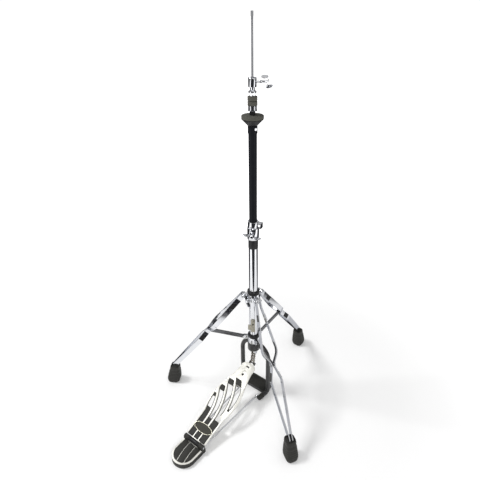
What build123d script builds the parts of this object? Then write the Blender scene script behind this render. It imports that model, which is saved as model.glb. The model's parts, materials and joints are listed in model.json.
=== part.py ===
"""Hi-hat stand with a double-braced tripod, chain pedal, cymbal seat and clutch.

Frame: +Z up, the floor at z = 0 and the tube axis at x = y = 0. The pedal points to -Y.
"""
from build123d import *
import os
from math import atan2, cos, degrees, hypot, radians, sin, sqrt

os.makedirs("parts", exist_ok=True)

# ---- Fits ---------------------------------------------------------------------------
running = 0.05          # radial clearance of a shaft that turns or slides in its hole
gap = 0.3               # space between faces of pieces that move past each other

# ---- Tubes and pull rod -------------------------------------------------------------
stand_height = 1179.0
upper_tube_r = 11.1
upper_tube_wall = 1.2
upper_tube_foot = 445.0
lower_tube_r = 13.5
lower_tube_wall = 1.4
lower_tube_foot = 188.0
lower_tube_top = 598.0
upper_rod_r = 3.0
lower_rod_r = 4.0
rod_joint_z = 620.0     # where the two lengths of pull rod meet
coupler_r = 7.0
coupler_length = 40.0
bush_length = 25.0
guide_length = 15.0

# ---- Wing screws: hub radius, hub length, wing reach, height and thickness, roll ----
height_wings = (6.0, 9.0, 26.0, 13.0, 3.4, 65.0)
collar_wings = (5.5, 9.0, 18.0, 12.0, 3.2, 25.0)
clutch_wings = (4.0, 15.0, 17.0, 14.0, 2.6, 10.0)
wing_inset = 1.5        # from the hub's shoulder to the wing
wing_overlap = 0.35     # share of the wing's reach at which its middle sits

# ---- Height clamp, sleeve and memory lock -------------------------------------------
sleeve_wall = 0.7
sleeve_foot = 570.0
clamp_foot = 601.0
clamp_top = 636.0
clamp_wall = 2.8
height_bolt_azimuth = -60.0
lock_height = 20.0
lock_r = 15.5

# ---- Cymbal seat --------------------------------------------------------------------
housing_foot = 904.0
housing_top = 923.0
housing_r = 12.5
seat_r = 28.7
cup_height = 16.0
seat_felt_height = 9.5
seat_sleeve_height = 11.3
tilt_limit = 3.0        # degrees
seat_sleeve_wall = 1.0
seat_sleeve_flare = 1.0
tilt_height = 915.0
tilt_screw_azimuth = -23.0
tilt_pin_r = 1.5
seat_stem_r = 8.0

# ---- Clutch, parked on the seat -----------------------------------------------------
clutch_foot = 961.5
clutch_stem_r = 6.0
lock_nut_height = 10.5
lock_nut_r = 10.8
clutch_felt_r = 12.5
clutch_felt_height = 11.5
clutch_nut_height = 8.0
clutch_nut_r = 8.0
clutch_flange_height = 4.0
clutch_flange_r = 10.0
clutch_head_foot = 1016.0
clutch_head_height = 22.0
clutch_head_r = 10.3
clutch_screw_azimuth = 38.0
clutch_screw_shoulder = 24.0

# ---- Tripod -------------------------------------------------------------------------
leg_azimuths = {"right": -30.0, "left": -150.0, "back": 90.0}
upper_collar_foot = 385.0
upper_collar_height = 25.0
upper_collar_wall = 7.5
collar_ring_height = 8.0
collar_ring_wall = 5.5
leg_pivot_r = 33.0
leg_pivot_z = 398.0
leg_end_r = 278.0
leg_end_z = 77.0
strip_in_foot = 15.0    # how far the strips run on into the rubber foot
strip_width = 16.0
strip_thick = 3.0
strip_hub_offset = 6.5  # from the leg's centre plane to the strip's middle
strip_upper_bulge = 24.0
strip_lower_bulge = 17.0
strip_pinch = 2.4
strip_end_offset = 4.5
strip_bends = [60, 40, 25, 40, 60]
rivet_washer_r = 5.5
rivet_washer_height = 2.2
rivet_washer_seat = 3.9 # from the pinch to the washer's inner face
upper_bulge_share = 0.82
lower_bulge_share = 0.23
brace_r = 149.0         # where the strut meets the leg
brace_z = 246.0
leg_pin_r = 3.0
leg_pin_head = 2.4
pad_length = 20.0
pad_thick = 0.9
first_pad_at = 50.0
second_pad_past_brace = 33.0
foot_centre_r = 290.0
foot_crown_r = 280.5
foot_height = 70.0
foot_belly_z = 15.0
foot_length = 46.0
foot_width = 40.0
foot_sole_share = 0.84
foot_crown_length = 31.0
foot_crown_width = 31.0
collar_bolt_azimuth = -90.0

# ---- Lower collar and struts --------------------------------------------------------
lower_collar_foot = 215.0
lower_collar_height = 23.0
lower_collar_wall = 6.0
strut_pivot_r = 30.0
strut_pivot_z = 231.0
strut_width = 14.0
strut_thick = 4.0
strut_pin_r = 2.5
ear_thick = 4.0

# ---- Return spring and tension clip -------------------------------------------------
spring_foot = 283.0
spring_top = 365.0
spring_mean_r = 9.0
spring_wire_r = 1.0
spring_turns = 11
cap_height = 7.0
spring_seat_height = 12.0
clip_azimuth = -60.0
clip_foot = 265.0
clip_height = 49.0
clip_width = 13.6
clip_thick = 2.5
clip_travel = 16.0

# ---- Frame under the tube -----------------------------------------------------------
yoke_foot = 185.0
yoke_wall = 6.5
post_r = 7.5
post_x = 54.0
post_y = 8.0
post_top = 150.0
yoke_bend = 50.0
post_bend = 16.0
post_toe_x = 48.0
post_toe_y = -30.0
tip_wall = 1.0
tip_length = 20.0
tip_reach = 6.0         # how far a rubber tip runs past the end of its post
base_width = 100.0
base_front = -4.0
base_depth = 49.0
base_thick = 11.0
mat_thick = 4.0
mat_margin = 6.0
mat_rib_pitch = 5.0
radius_rod_r = 2.5

# ---- Pedal --------------------------------------------------------------------------
hinge_y = -297.0
hinge_z = 25.0
hinge_pin_r = 3.0
knuckle_r = 7.0
knuckle_half = 19.6     # half the length of the footboard's own knuckle
board_slope = 19.6
board_length = 297.0
board_thick = 5.0
inlay_depth = 1.2
inlay_proud = 0.4
lining = 1.8            # rubber left on each side of a slot
toe_half = 26.0
toe_corner = 17.0
toe_plate_length = 40.0
square_hole_at = 252.0
square_hole = 9.0
round_hole_at = 267.0
round_hole_r = 2.4
slot_hole_at = 282.0
slot_hole = 6.0
heel_line_sweep = 0.0022 # how fast the two heel lines curve away to the right
heel_line_half = 1.3
bracket_wall = 3.0
bracket_eye_r = 4.0
heel_half = 38.0
heel_length = 80.0
heel_thick = 17.5
heel_inlay_thick = 1.5
rib_line_x = 12.0
badge_at = 45.0
badge_half_length = 35.0
badge_half_width = 14.0
badge_thick = 1.2

# ---- Chain --------------------------------------------------------------------------
chain_pitch = 9.525
chain_links = 5
chain_plate_r = 4.3
chain_plate_thick = 1.3
chain_inner_half = 4.0
chain_pin_r = 1.7
toe_pin_r = 2.0
toe_pin_y = -8.0
toe_pin_z = 122.0
open_pivot_gap = 1.1    # room at the toe pin, where the linkage is left open

# ---- Worked out from the sizes above ------------------------------------------------
lower_tube_bore = lower_tube_r - lower_tube_wall
sleeve_r = lower_tube_r + sleeve_wall
clamp_r = sleeve_r + clamp_wall
upper_collar_r = lower_tube_r + upper_collar_wall
collar_ring_r = lower_tube_r + collar_ring_wall
lower_collar_r = lower_tube_r + lower_collar_wall
yoke_r = lower_tube_r + yoke_wall
upper_tube_bore = upper_tube_r - upper_tube_wall
chain_span = chain_pitch * chain_links
chain_top_z = toe_pin_z + sqrt(chain_span ** 2 - toe_pin_y ** 2)
chain_lean = degrees(atan2(toe_pin_y, chain_top_z - toe_pin_z))
leg_length = hypot(leg_end_r - leg_pivot_r, leg_pivot_z - leg_end_z)
leg_dir = ((leg_end_r - leg_pivot_r) / leg_length, (leg_end_z - leg_pivot_z) / leg_length)
brace_at = hypot(brace_r - leg_pivot_r, leg_pivot_z - brace_z)
strut_length = hypot(brace_r - strut_pivot_r, brace_z - strut_pivot_z)
clip_face = lower_tube_r + gap
chain_half = chain_inner_half + 2 * chain_plate_thick + 0.4
felt_foot = clutch_foot + lock_nut_height
nut_foot = felt_foot + 2 * clutch_felt_height
seat_foot = housing_top + 1.0
felt_seat_foot = seat_foot + cup_height
sleeve_seat_foot = felt_seat_foot + seat_felt_height
seat_swing = (sleeve_seat_foot + seat_sleeve_height - tilt_height) * sin(radians(tilt_limit))
seat_bore_r = upper_rod_r + seat_swing + 0.1

LOW = (Align.CENTER, Align.CENTER, Align.MIN)
parts = {}


# ---- Helpers ------------------------------------------------------------------------
def disc(radius, foot, height):
    """A cylinder on the Z axis."""
    return Pos(0, 0, foot) * Cylinder(radius, height, align=LOW)


def ring(outer, bore, foot, height):
    """A plain bush on the Z axis."""
    return disc(outer, foot, height) - disc(bore, foot - 1, height + 2)


def bar_x(radius, start, end, y=0.0, z=0.0):
    """A cylinder along X from start to end."""
    return Pos(start, y, z) * Rot(0, 90, 0) * Cylinder(radius, end - start, align=LOW)


def bar_y(radius, start, end, x=0.0, z=0.0):
    """A cylinder along Y from start to end."""
    return Pos(x, start, z) * Rot(-90, 0, 0) * Cylinder(radius, end - start, align=LOW)


def block(x0, x1, y0, y1, z0, z1):
    """A box between two corners."""
    return Pos((x0 + x1) / 2, (y0 + y1) / 2, (z0 + z1) / 2) * Box(x1 - x0, y1 - y0, z1 - z0)


def hexagon(across_corners_r, bore, foot, height):
    """A hexagon nut on the Z axis."""
    prism = Pos(0, 0, foot) * extrude(RegularPolygon(across_corners_r, 6), height)
    return prism - disc(bore, foot - 1, height + 2)


def sweep_round(radius, points, bends):
    """A round bar along straight runs joined by arcs."""
    path = FilletPolyline(*points, radius=bends)
    return sweep(Plane(origin=path @ 0, z_dir=path % 0) * Circle(radius), path=path)


def wing_screw(size, thread_r, tip, shoulder):
    """A screw along +X with two flared wings at its outer end."""
    hub_r, hub_length, wing_reach, wing_height, wing_thick, roll = size
    screw = bar_x(thread_r, tip, shoulder) + bar_x(hub_r, shoulder, shoulder + hub_length)
    wing = extrude(Ellipse(wing_height / 2, wing_reach / 2), wing_thick / 2, both=True)
    centre_x = shoulder + wing_height / 2 + wing_inset
    for side in (1, -1):
        centre_z = side * (hub_r + wing_reach * wing_overlap)
        screw += Pos(centre_x, 0, centre_z) * Rot(90, 0, 0) * wing
    return Rot(roll, 0, 0) * screw


def round_rims(solid, rim_r, size):
    """Round the outer rims of a disc."""
    circles = solid.edges().filter_by(GeomType.CIRCLE)
    return fillet([edge for edge in circles if abs(edge.radius - rim_r) < 0.01], size)


def keep(name, *solids):
    """Note a named node made of one or more solids."""
    parts[name] = solids[0] if len(solids) == 1 else Compound(children=list(solids))


# ---- Tubes --------------------------------------------------------------------------
def make_tubes():
    lower = ring(lower_tube_r, lower_tube_bore, lower_tube_foot, lower_tube_top - lower_tube_foot)
    neck_half = 2.9
    slot_foot = spring_foot - spring_seat_height - 2
    slot_height = spring_seat_height + clip_travel + 4
    slot = block(lower_tube_bore - 2, lower_tube_r + 2, -neck_half - gap, neck_half + gap,
                 slot_foot, slot_foot + slot_height)
    keep("lower_tube", lower - Rot(0, 0, clip_azimuth) * slot)

    upper = ring(upper_tube_r, upper_tube_bore, upper_tube_foot, housing_foot - upper_tube_foot)
    keep("upper_tube", upper)
    keep("upper_tube_bush", ring(lower_tube_bore - running, upper_tube_r, upper_tube_foot, bush_length))

    sleeve = disc(sleeve_r, sleeve_foot, clamp_top - sleeve_foot)
    sleeve -= disc(lower_tube_r, sleeve_foot - 1, lower_tube_top - sleeve_foot + 1)
    keep("tube_sleeve", sleeve - disc(upper_tube_r + running, sleeve_foot, clamp_top - sleeve_foot + 1))
    keep("rod_guide", ring(lower_tube_bore, lower_rod_r + running, lower_tube_foot, guide_length))


def make_height_clamp():
    boss_r, boss_reach, thread_r = 7.5, 26.0, 3.0
    middle = (clamp_foot + clamp_top) / 2 + 3
    clamp = disc(clamp_r, clamp_foot, clamp_top - clamp_foot)
    boss = Pos(0, 0, middle) * bar_x(boss_r, 0, boss_reach)
    back_lug = block(-clamp_r - 9, 0, -6, 6, middle - 9, middle + 9)
    body = clamp + boss + back_lug - disc(sleeve_r, clamp_foot - 1, clamp_top - clamp_foot + 2)
    body -= Pos(0, 0, middle) * bar_x(thread_r + running, 0, boss_reach + 1)
    keep("height_clamp", Rot(0, 0, height_bolt_azimuth) * body)
    bolt = wing_screw(height_wings, thread_r, sleeve_r + gap, boss_reach + gap)
    keep("height_wing_bolt", Rot(0, 0, height_bolt_azimuth) * Pos(0, 0, middle) * bolt)


def make_memory_lock():
    foot = clamp_top + gap
    lug_reach, screw_r = 27.0, 2.5
    middle = foot + lock_height / 2
    body = disc(lock_r, foot, lock_height) + block(0, lug_reach, -7, 7, foot + 2, foot + lock_height - 2)
    body -= disc(upper_tube_r, foot - 1, lock_height + 2)
    screw_x = lug_reach - 6
    body -= bar_y(screw_r, -8, 8, screw_x, middle)
    screw = bar_y(screw_r, -7, 7, screw_x, middle) + bar_y(4.5, 7, 11, screw_x, middle)
    turn = Rot(0, 0, height_bolt_azimuth + 75)
    keep("memory_lock", turn * body, turn * screw)


# ---- Pull rod -----------------------------------------------------------------------
def make_pull_rod():
    rod = disc(upper_rod_r, rod_joint_z, stand_height - rod_joint_z)
    keep("upper_pull_rod", chamfer(rod.edges().group_by(Axis.Z)[-1], 0.8))
    clevis_top = chain_top_z + 15
    lower = disc(lower_rod_r, clevis_top, rod_joint_z - clevis_top)
    keep("lower_pull_rod", lower + disc(lower_tube_bore - 1.0, spring_top, cap_height))
    foot = rod_joint_z - coupler_length / 2
    coupler = Pos(0, 0, foot) * extrude(RegularPolygon(coupler_r, 6), coupler_length)
    coupler -= disc(lower_rod_r, foot - 1, rod_joint_z - foot + 1)
    keep("rod_coupler", coupler - disc(upper_rod_r, foot, coupler_length + 1))

    lug_inner, lug_half = chain_half + 0.7, 6.0
    lug_outer = lug_inner + 2.4
    clevis = disc(lug_outer, chain_top_z + 6, 9)
    for side in (1, -1):
        x0, x1 = sorted((side * lug_inner, side * lug_outer))
        clevis += block(x0, x1, -lug_half, lug_half, chain_top_z, chain_top_z + 8)
        clevis += bar_x(lug_half, x0, x1, 0, chain_top_z)
    keep("chain_clevis", clevis + bar_x(toe_pin_r, -lug_outer - 1, lug_outer + 1, 0, chain_top_z))


def make_chain():
    """Flat links that hang from the clevis pin, drawn upright and then leaned to the toe."""
    lean = Pos(0, 0, chain_top_z) * Rot(chain_lean, 0, 0)
    solids = []
    for link in range(chain_links):
        inner = chain_inner_half if link % 2 else chain_inner_half + chain_plate_thick + 0.1
        top, low = -link * chain_pitch, -(link + 1) * chain_pitch
        for side in (1, -1):
            x0, x1 = sorted((side * inner, side * (inner + chain_plate_thick)))
            plate = block(x0, x1, -chain_plate_r * 0.8, chain_plate_r * 0.8, low, top)
            for z, last, bore in ((top, link == 0, toe_pin_r + running),
                                  (low, link == chain_links - 1, toe_pin_r + open_pivot_gap)):
                plate += bar_x(chain_plate_r, x0, x1, 0, z)
                plate -= bar_x(bore if last else chain_pin_r, x0 - 1, x1 + 1, 0, z)
            solids.append(lean * plate)
    for joint in range(1, chain_links):
        z = -joint * chain_pitch
        pin = bar_x(chain_pin_r, -chain_half, chain_half, 0, z)
        roller = bar_x(chain_plate_r * 0.65, -chain_inner_half, chain_inner_half, 0, z)
        solids.append(lean * (pin + roller))
    keep("chain", *solids)


# ---- Spring and tension clip --------------------------------------------------------
def make_spring():
    length = spring_top - spring_foot - 2 * spring_wire_r
    path = Helix(pitch=length / spring_turns, height=length, radius=spring_mean_r)
    coil = sweep(Plane(origin=path @ 0, z_dir=path % 0) * Circle(spring_wire_r), path=path,
                 is_frenet=True)
    keep("return_spring", Pos(0, 0, spring_foot + spring_wire_r) * coil)

    flat = 10.5
    seat_foot_z = spring_foot - spring_seat_height
    seat = ring(lower_tube_bore - 0.2, lower_rod_r + gap, seat_foot_z, spring_seat_height)
    seat -= block(flat, lower_tube_r, -20, 20, seat_foot_z - 1, spring_foot + 1)
    keep("spring_seat", Rot(0, 0, clip_azimuth) * seat)
    clip = block(clip_face, clip_face + clip_thick, -clip_width / 2, clip_width / 2,
                 clip_foot, clip_foot + clip_height)
    clip -= bar_x(3.0, 0, 30, 0, clip_foot + clip_height * 0.62)
    clip += block(flat, clip_face + 1, -2.9, 2.9, seat_foot_z, spring_foot)
    tab_foot = clip_foot + 8
    clip += block(clip_face, clip_face + clip_thick, -clip_width / 2 - 9, 0, tab_foot, tab_foot + 20)
    keep("tension_clip", Rot(0, 0, clip_azimuth) * clip)


# ---- Cymbal seat --------------------------------------------------------------------
def make_seat():
    recess_r, recess_foot, screw_r = 10.0, housing_foot + 2, 2.0
    body = disc(housing_r, housing_foot, housing_top - housing_foot)
    body += disc(upper_tube_bore, housing_foot - 24, 24)
    body -= disc(recess_r, recess_foot, housing_top)
    body -= disc(upper_rod_r + 0.5, housing_foot - 30, 60)
    screw_z = tilt_height + 2
    screw_hole = Pos(0, 0, screw_z) * bar_x(screw_r + running, 5, 20)
    tilt_axis = Rot(0, 0, tilt_screw_azimuth) * Pos(0, 0, tilt_height)
    for side in (1, -1):
        y0, y1 = sorted((side * 5, side * 20))
        body -= tilt_axis * bar_y(tilt_pin_r, y0, y1)
    keep("seat_housing", body - Rot(0, 0, tilt_screw_azimuth) * screw_hole)
    keep("tilt_pins", *[tilt_axis * bar_y(tilt_pin_r, *sorted((side * (seat_bore_r + 0.6), side * housing_r)))
                        for side in (1, -1)])
    screw = bar_x(screw_r, recess_r - 0.8, housing_r + gap) + bar_x(3.4, housing_r + gap, housing_r + 4.5)
    keep("tilt_screw", Rot(0, 0, tilt_screw_azimuth) * Pos(0, 0, screw_z) * screw)

    cup = Pos(0, 0, seat_foot) * Cone(housing_r + 0.5, seat_r - 0.3, cup_height, align=LOW)
    cup += disc(seat_stem_r, recess_foot + 2, seat_foot - recess_foot - 2)
    cup -= disc(seat_bore_r, recess_foot, 60)
    keep("seat_cup", cup - tilt_axis * bar_y(tilt_pin_r + running, -seat_stem_r - 1, seat_stem_r + 1))
    keep("seat_felt", round_rims(ring(seat_r, seat_bore_r, felt_seat_foot, seat_felt_height), seat_r, 2.0))
    sleeve_top_r = seat_bore_r + seat_sleeve_wall
    cone = Cone(sleeve_top_r + seat_sleeve_flare, sleeve_top_r, seat_sleeve_height, align=LOW)
    cone = Pos(0, 0, sleeve_seat_foot) * cone
    keep("seat_sleeve", cone - disc(seat_bore_r, sleeve_seat_foot - 1, seat_sleeve_height + 2))


# ---- Clutch -------------------------------------------------------------------------
def make_clutch():
    thread_r = 2.5
    head = disc(clutch_head_r, clutch_head_foot, clutch_head_height)
    head = chamfer(head.edges(), 0.8) + disc(clutch_stem_r, clutch_foot + 1, clutch_head_foot - clutch_foot)
    head -= disc(upper_rod_r + running, clutch_foot - 1, 100)
    screw_z = clutch_head_foot + clutch_head_height * 0.55
    hole = Pos(0, 0, screw_z) * bar_x(thread_r + running, 2, 30)
    keep("clutch_body", head - Rot(0, 0, clutch_screw_azimuth) * hole)
    screw = wing_screw(clutch_wings, thread_r, upper_rod_r + gap, clutch_screw_shoulder)
    keep("clutch_wing_screw", Rot(0, 0, clutch_screw_azimuth) * Pos(0, 0, screw_z) * screw)

    nut = hexagon(clutch_nut_r, clutch_stem_r, nut_foot, clutch_nut_height)
    nut += ring(clutch_flange_r, clutch_stem_r, nut_foot + clutch_nut_height, clutch_flange_height)
    keep("clutch_nut", nut)
    felt = ring(clutch_felt_r, clutch_stem_r, felt_foot + gap, clutch_felt_height - gap)
    felt = round_rims(felt, clutch_felt_r, 1.5)
    keep("clutch_felts", felt, Pos(0, 0, clutch_felt_height) * felt)
    nut_ring = ring(lock_nut_r, clutch_stem_r + running, clutch_foot, lock_nut_height)
    keep("clutch_lock_nut", nut_ring)


# ---- Tripod -------------------------------------------------------------------------
def make_upper_collar():
    lug_half = strip_hub_offset - strip_thick / 2 - gap
    lug_r = 7.0
    top = upper_collar_foot + upper_collar_height
    body = disc(upper_collar_r, upper_collar_foot, upper_collar_height)
    pins = []
    for azimuth in leg_azimuths.values():
        turn = Rot(0, 0, azimuth)
        lug = block(0, leg_pivot_r, -lug_half, lug_half, leg_pivot_z - lug_r, leg_pivot_z + lug_r)
        lug += bar_y(lug_r, -lug_half, lug_half, leg_pivot_r, leg_pivot_z)
        body += turn * lug
        outer = strip_hub_offset + strip_thick / 2 + gap
        pin = bar_y(leg_pin_r, -outer, outer, leg_pivot_r, leg_pivot_z)
        for side in (1, -1):
            y0, y1 = sorted((side * outer, side * (outer + leg_pin_head)))
            pin += bar_y(2 * leg_pin_r, y0, y1, leg_pivot_r, leg_pivot_z)
        pins.append(turn * pin)
    thread_r, boss_reach, boss_r = 3.0, 27.0, 7.0
    middle = upper_collar_foot + 10
    turn = Rot(0, 0, collar_bolt_azimuth) * Pos(0, 0, middle)
    body += turn * bar_x(boss_r, 0, boss_reach)
    body -= turn * bar_x(thread_r + running, 0, boss_reach + 1)
    body -= disc(lower_tube_r + running, upper_collar_foot - 1, upper_collar_height + 2)
    for pin in pins:
        body -= pin
    keep("upper_collar", body)
    keep("upper_collar_ring", ring(collar_ring_r, lower_tube_r + running, top, collar_ring_height))
    keep("leg_pins", *pins)
    bolt = wing_screw(collar_wings, thread_r, lower_tube_r + gap, boss_reach + gap)
    keep("collar_wing_bolt", turn * bolt)


def make_leg(side_name, azimuth):
    """Two flat strips that bow apart and pinch together, with pads on their outer faces."""
    normal = (-leg_dir[1], 0, leg_dir[0])
    place = Rot(0, 0, azimuth) * Plane(origin=(leg_pivot_r, 0, leg_pivot_z),
                                      x_dir=(leg_dir[0], 0, leg_dir[1]), z_dir=normal).location
    overrun = strip_width / 2
    end = leg_length + strip_in_foot
    below = leg_length - brace_at
    strips, pads = [], []
    outline = Pos((end - overrun) / 2, 0, 0) * Box(end + overrun, 80, strip_width)
    outline = fillet(outline.edges().filter_by(Axis.Y), strip_width / 2 - 0.1)
    for side in (1, -1):
        points = [(-overrun, side * strip_hub_offset, 0), (20, side * strip_hub_offset, 0),
                  (brace_at * upper_bulge_share, side * strip_upper_bulge, 0),
                  (brace_at, side * strip_pinch, 0),
                  (brace_at + below * lower_bulge_share, side * strip_lower_bulge, 0),
                  (leg_length, side * strip_end_offset, 0), (end, side * strip_end_offset, 0)]
        path = FilletPolyline(*points, radius=strip_bends)
        start = Plane(origin=path @ 0, x_dir=(0, 1, 0), z_dir=path % 0)
        strip = sweep(start * Rectangle(strip_thick, strip_width), path=path) & outline
        strip -= bar_y(leg_pin_r + running, -30, 30)
        strips.append(strip)
        pad_middle = side * (strip_thick + pad_thick) / 2
        cover = sweep(start * Pos(pad_middle, 0) * Rectangle(pad_thick, strip_width - 1), path=path)
        for centre in (first_pad_at, brace_at + second_pad_past_brace):
            cutter = block(centre - pad_length / 2, centre + pad_length / 2, -60, 60, -20, 20)
            pads.append(place * ((cover & cutter) - strip))
        face = side * (strip_pinch + rivet_washer_seat)
        y0, y1 = sorted((face, face + side * rivet_washer_height))
        strips.append(bar_y(rivet_washer_r, y0, y1, brace_at, 0) - strip)
    keep("leg_strips_" + side_name, *[place * piece for piece in strips])
    keep("leg_pads_" + side_name, *pads)

    def level(r, z, length, width, corner):
        return Pos(r, 0, z) * RectangleRounded(length, width, corner)

    sole = level(foot_centre_r, 0, foot_length * foot_sole_share, foot_width * foot_sole_share, 12)
    belly = level(foot_centre_r, foot_belly_z, foot_length, foot_width, 14)
    crown = level(foot_crown_r, foot_height, foot_crown_length, foot_crown_width, 10)
    foot = Rot(0, 0, azimuth) * (loft([sole, belly]) + loft([belly, crown]))
    for piece in strips[::2]:
        foot -= place * piece
    keep("leg_foot_" + side_name, foot)


def make_lower_collar():
    body = disc(lower_collar_r, lower_collar_foot, lower_collar_height)
    ear_r = strut_width / 2 - 0.5
    ear_inner = strut_thick / 2 + gap
    ear_outer = ear_inner + ear_thick
    pins = []
    for azimuth in leg_azimuths.values():
        turn = Rot(0, 0, azimuth)
        for side in (1, -1):
            y0, y1 = sorted((side * ear_inner, side * ear_outer))
            ear = block(0, strut_pivot_r, y0, y1, strut_pivot_z - ear_r, strut_pivot_z + ear_r)
            body += turn * (ear + bar_y(ear_r, y0, y1, strut_pivot_r, strut_pivot_z))
        pins.append(turn * bar_y(strut_pin_r, -ear_outer - 2, ear_outer + 2, strut_pivot_r, strut_pivot_z))
    for pin in pins:
        body -= pin
    body -= disc(lower_tube_r, lower_collar_foot - 1, lower_collar_height + 2)
    keep("lower_collar", body)
    keep("lower_collar_ring", ring(collar_ring_r, lower_tube_r, lower_collar_foot + lower_collar_height,
                                   collar_ring_height))
    return pins


def make_struts():
    rise = degrees(atan2(brace_z - strut_pivot_z, brace_r - strut_pivot_r))
    for side_name, azimuth in leg_azimuths.items():
        bar = block(0, strut_length, -strut_thick / 2, strut_thick / 2, -strut_width / 2, strut_width / 2)
        for x in (0, strut_length):
            bar += bar_y(strut_width / 2, -strut_thick / 2, strut_thick / 2, x)
        bar -= bar_y(strut_pin_r + running, -5, 5)
        place = Rot(0, 0, azimuth) * Pos(strut_pivot_r, 0, strut_pivot_z) * Rot(0, -rise, 0)
        keep("strut_" + side_name, place * bar)


# ---- Frame --------------------------------------------------------------------------
def make_frame(strut_pins):
    middle = post_r + tip_wall
    posts, tips, bolts, rods = [], [], [], []
    yoke = disc(yoke_r, yoke_foot, lower_collar_foot - yoke_foot)
    heel_front = hinge_y + knuckle_r + 2
    for side in (1, -1):
        x = side * post_x
        yoke += sweep_round(post_r, [(0, post_y, lower_collar_foot - post_r - 1),
                                     (x, post_y, lower_collar_foot - 20), (x, post_y, post_top)], yoke_bend)
        path_points = [(x, post_y, post_top), (x, post_y, middle), (side * post_toe_x, post_toe_y, middle)]
        post = sweep_round(post_r, path_points, post_bend)
        heading = (side * (post_toe_x - post_x), post_toe_y - post_y, 0)
        size = hypot(heading[0], heading[1])
        along = (heading[0] / size, heading[1] / size, 0)
        back = tip_length - tip_reach
        start = (side * post_toe_x - along[0] * back, post_toe_y - along[1] * back, middle)
        tip = extrude(Plane(origin=start, z_dir=along) * Circle(middle), tip_length)
        tips.append(tip - post)
        posts.append(post)
        bolt_x = side * (post_toe_x - middle)
        x0, x1 = sorted((bolt_x - side * 7, bolt_x + side * 0.5))
        bolt = bar_x(4.5, x0, x1, post_toe_y - 2, middle) - tip
        rod_start = Vector(bolt_x - side * 4, post_toe_y - 2, middle)
        rod_end = Vector(side * (heel_half - 12), heel_front - 6, middle)
        run = rod_end - rod_start
        rod = extrude(Plane(origin=rod_start, z_dir=run) * Circle(radius_rod_r), run.length)
        rods.append(rod)
        bolts.append(bolt - rod)
    keep("frame_yoke", yoke - disc(lower_tube_r, yoke_foot - 1, 60))
    keep("frame_post_right", posts[0])
    keep("frame_post_left", posts[1])
    keep("frame_tips", *tips)
    keep("radius_rods", *rods)
    keep("frame_screws", *bolts)

    plate = block(-base_width / 2, base_width / 2, base_front, base_front + base_depth, 0, base_thick)
    for post in posts:
        plate -= post
    keep("base_plate", plate)
    half = base_width / 2 - mat_margin - 2
    mat = block(-half, half, base_front + 2, base_front + base_depth - 2, base_thick,
                base_thick + mat_thick / 2)
    ribs = int((base_depth - 6) // mat_rib_pitch)
    for rib in range(ribs):
        y = base_front + 4 + rib * mat_rib_pitch
        mat += block(-half, half, y, y + mat_rib_pitch / 2, base_thick, base_thick + mat_thick)
    keep("base_mat", mat)
    return rods


# ---- Pedal --------------------------------------------------------------------------
def half_width(u):
    """Half the footboard's width at a distance u from the hinge."""
    waist, shoulder, toe = 38.0, 49.0, toe_half
    swell = (shoulder - waist) * max(0.0, 1 - ((u - 155) / 62) ** 2)
    if u < 155:
        return waist + swell
    taper = min(1.0, (u - 155) / 115)
    return shoulder - (shoulder - toe) * taper ** 2 * (3 - 2 * taper)


def rib_half(u):
    """Half the width of the raised ribs, which widen towards the toe."""
    return 1.8 + 1.9 * min(1.0, max(0.0, (u - 40) / 60))


def rib_left(u):
    return -rib_line_x - 0.0030 * max(0.0, u - 72) ** 2


def rib_middle(u):
    return rib_line_x - 3 - 0.0026 * max(0.0, u - 80) ** 2


def rib_right(u):
    return 28.0 - 0.0030 * (u - 110) ** 2


def band_between(low, high, start, end, foot, height):
    """A prism between two curves x = low(u) and x = high(u)."""
    steps = 12
    stations = [start + (end - start) * i / steps for i in range(steps + 1)]
    left = Spline(*[(low(u), u) for u in stations])
    right = Spline(*[(high(u), u) for u in stations])
    edges = [left, Line(left @ 1, right @ 1), right, Line(left @ 0, right @ 0)]
    return Pos(0, 0, foot) * extrude(make_face(edges), height)


def board_channels():
    """Each channel: its two edges, its start and end, and the stretch cut right through."""
    rim, toe_rim = 4.0, 9.0
    near = knuckle_r + 2

    def inside(x, u):
        limit = half_width(u) - rim
        return min(limit, max(-limit, x))

    def toe_edge(u):
        return half_width(u) - toe_rim - 0.35 * max(0.0, u - 200)

    def right_edge(u):
        return inside(rib_right(u) - rib_half(u), u) if u > 94 else half_width(u) - rim

    return [
        (lambda u: -half_width(u) + rim, lambda u: rib_left(u) - rib_half(u), near, 156.0, 108.0, 144.0),
        (lambda u: inside(rib_left(u) + rib_half(u), u), lambda u: rib_middle(u) - rib_half(u),
         near, 190.0, 82.0, 172.0),
        (lambda u: inside(rib_middle(u) + rib_half(u), u), right_edge, near, 220.0, 84.0, 202.0),
        (lambda u: rib_right(u) + rib_half(u), toe_edge, 126.0, 232.0, 134.0, 212.0),
    ]


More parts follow.
